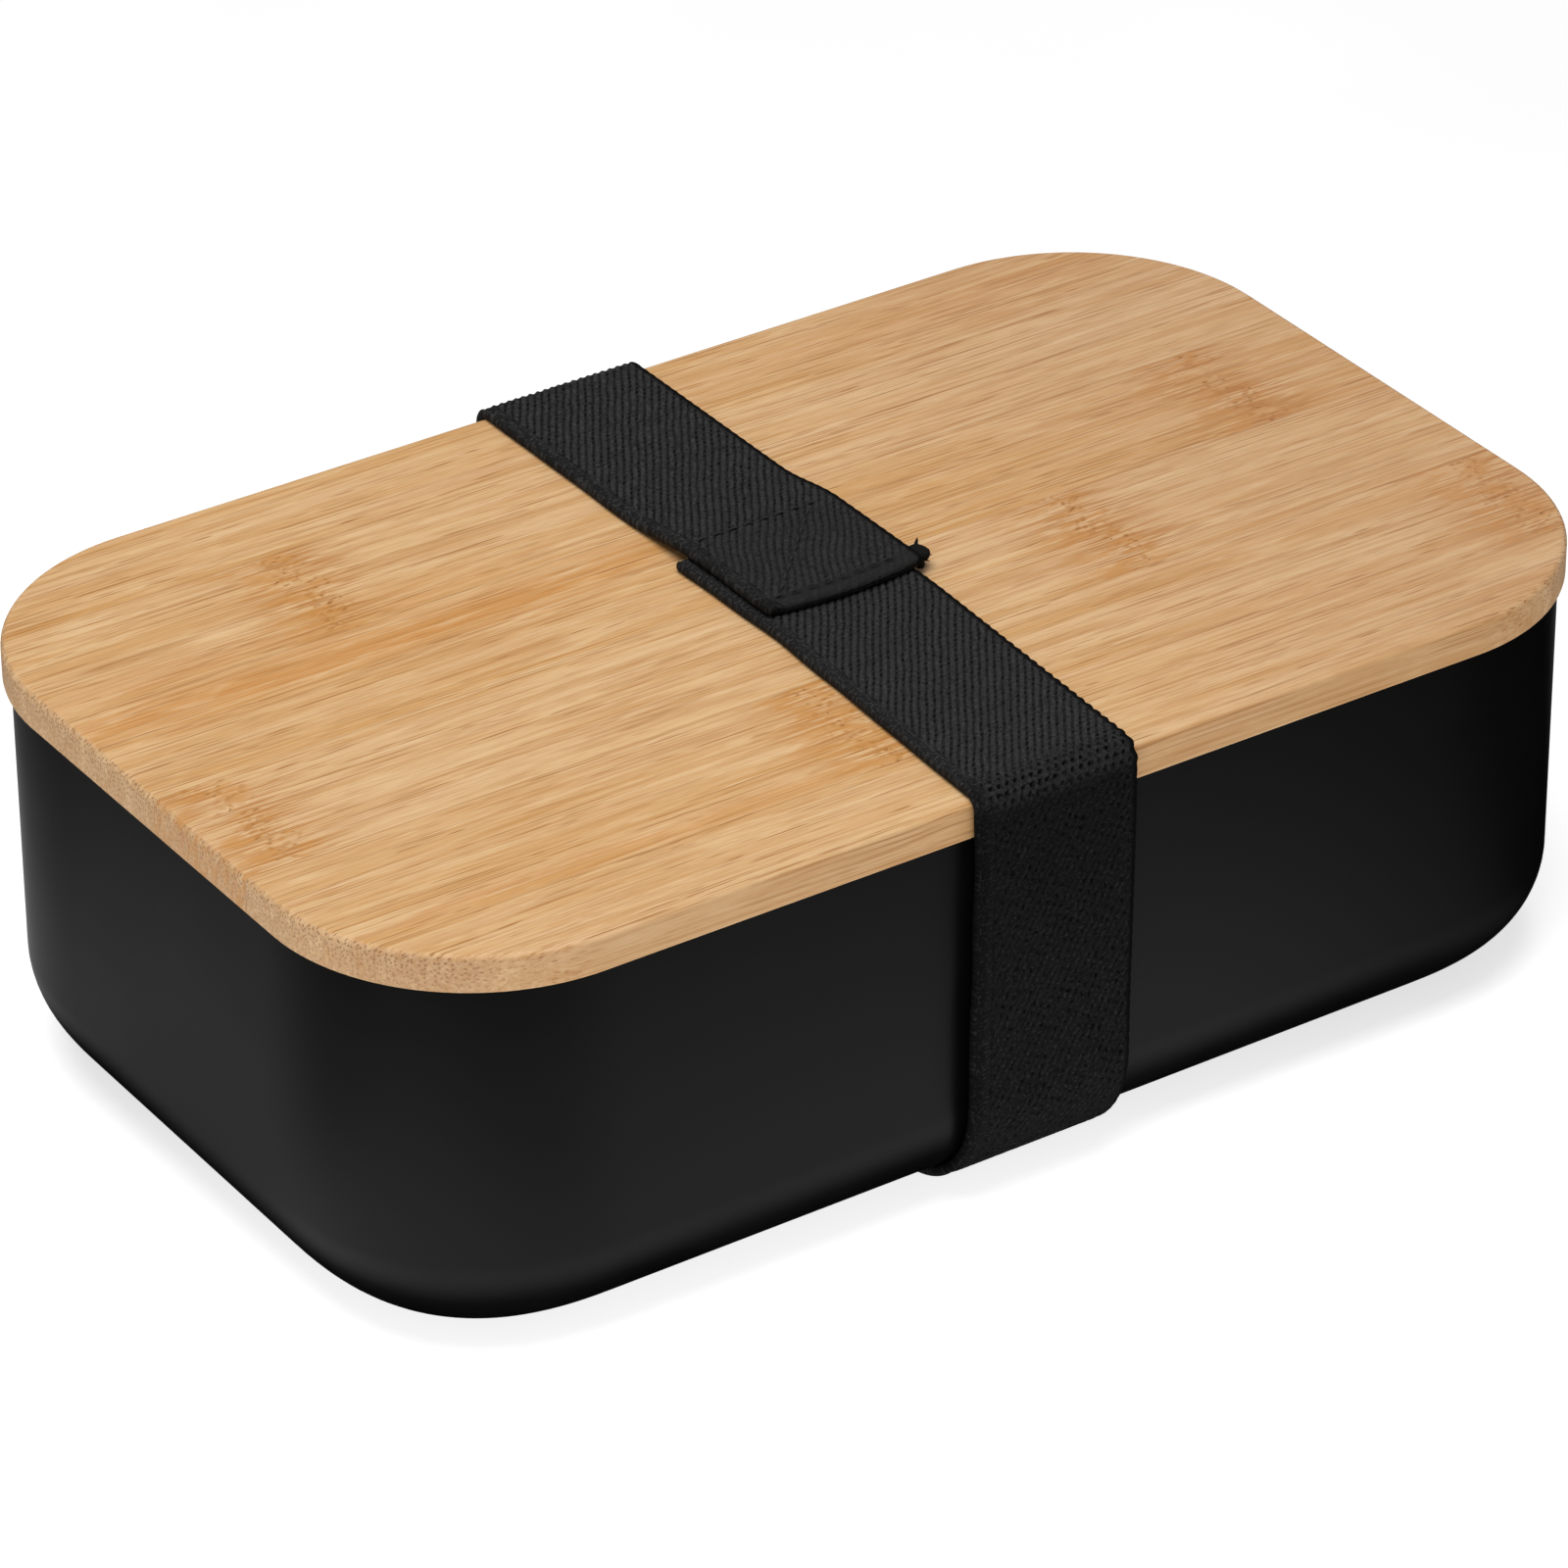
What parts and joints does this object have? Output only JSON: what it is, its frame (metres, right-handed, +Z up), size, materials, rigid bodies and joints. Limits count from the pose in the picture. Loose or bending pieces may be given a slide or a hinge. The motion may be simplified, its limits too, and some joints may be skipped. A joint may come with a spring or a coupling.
{
  "type": "bento lunch box",
  "caption": "Rounded rectangular lunch container with a lift-off bamboo strip lid, a plug with a seal ring, and an elastic strap sewn round it.",
  "frame": {"origin": "under the centre of the box, on the surface that the strap's underside rests on", "axes": "+X along the box's length, -Y towards its front long side, +Z up through the lid"},
  "size_m": [0.19, 0.1204, 0.0649],
  "materials": {
    "container": "satin moulded black polypropylene",
    "bamboo": "sanded and oiled bamboo, matt",
    "silicone": "soft matt silicone",
    "webbing": "black woven elastic",
    "thread": "black sewing thread"
  },
  "bodies": {
    "container": {"container": "container"},
    "lid": {"lid_strip_1": "bamboo", "lid_strip_2": "bamboo", "lid_strip_3": "bamboo", "lid_strip_4": "bamboo", "lid_strip_5": "bamboo", "lid_strip_6": "bamboo", "plug_strip_1": "bamboo", "plug_strip_2": "bamboo", "plug_strip_3": "bamboo", "plug_strip_4": "bamboo", "plug_strip_5": "bamboo", "seal_ring": "silicone"},
    "strap_lower": {"elastic_strap": "webbing"},
    "strap_upper": {"strap_stitching": "thread"}
  },
  "joints": [
    {"name": "lid_lift", "type": "slide", "parent": "container", "child": "lid", "axis": [0, 0, 1], "range_m": [0, 0.06], "deforming": ["elastic_strap"]},
    {"name": "strap_slide", "type": "slide", "parent": "container", "child": "strap_lower", "axis": [1, 0, 0], "range_m": [-0.115, 0.115]},
    {"name": "strap_stretch", "type": "slide", "parent": "strap_lower", "child": "strap_upper", "axis": [0, 0, 1], "range_m": [0, 0.06]}
  ],
  "couplings": [
    {"joint": "strap_stretch", "follows": "lid_lift", "ratio": 1}
  ]
}
